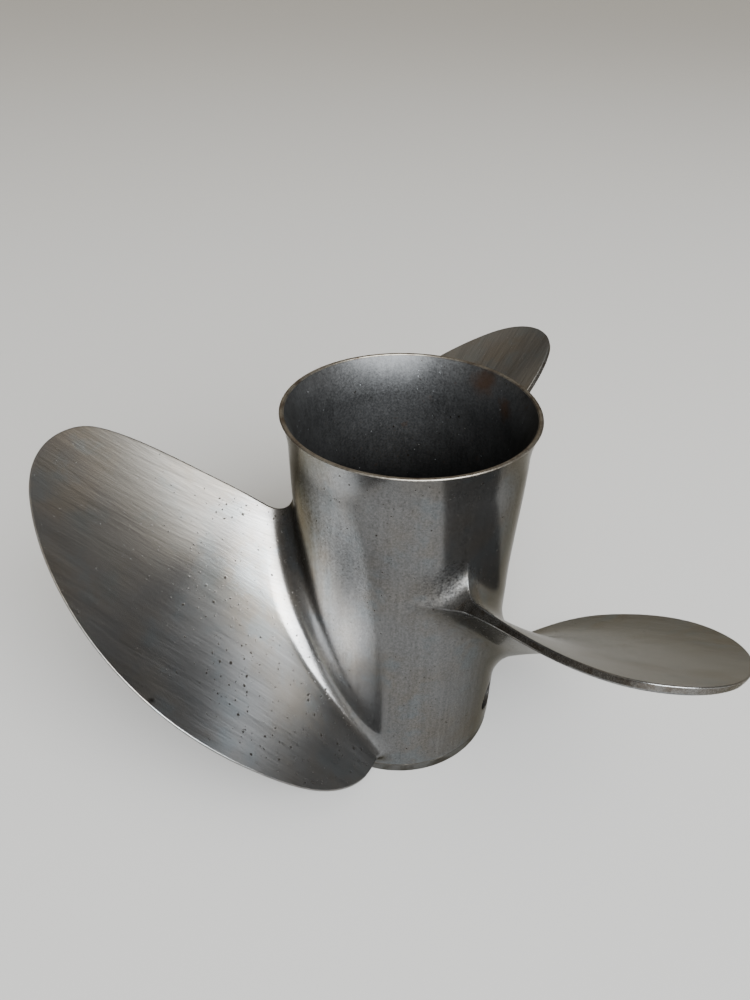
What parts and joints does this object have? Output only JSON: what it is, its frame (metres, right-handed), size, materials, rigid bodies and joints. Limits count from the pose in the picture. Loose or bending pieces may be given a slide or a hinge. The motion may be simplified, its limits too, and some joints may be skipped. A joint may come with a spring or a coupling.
{
  "type": "outboard-drive propeller, three blades, through-hub exhaust",
  "caption": "Cast stainless-steel boat propeller with raked helical blades on a hollow barrel with a flared rear lip, and a splined hub kit inside.",
  "frame": {"origin": "on the propeller shaft's axis, in the plane of the hub's front ring, on which the propeller stands", "axes": "+Z aft along the shaft, towards the flared lip; -X through the first blade's nominal angle"},
  "size_m": [0.3235, 0.3173, 0.2],
  "materials": {
    "stainless_steel": "brushed, worn, with a rough oxidised inside",
    "moulded_plastic": "matte",
    "brass": "machined, dull"
  },
  "bodies": {
    "root": {"propeller_casting": "stainless_steel", "drive_sleeve": "moulded_plastic", "splined_adapter": "brass"}
  },
  "joints": []
}
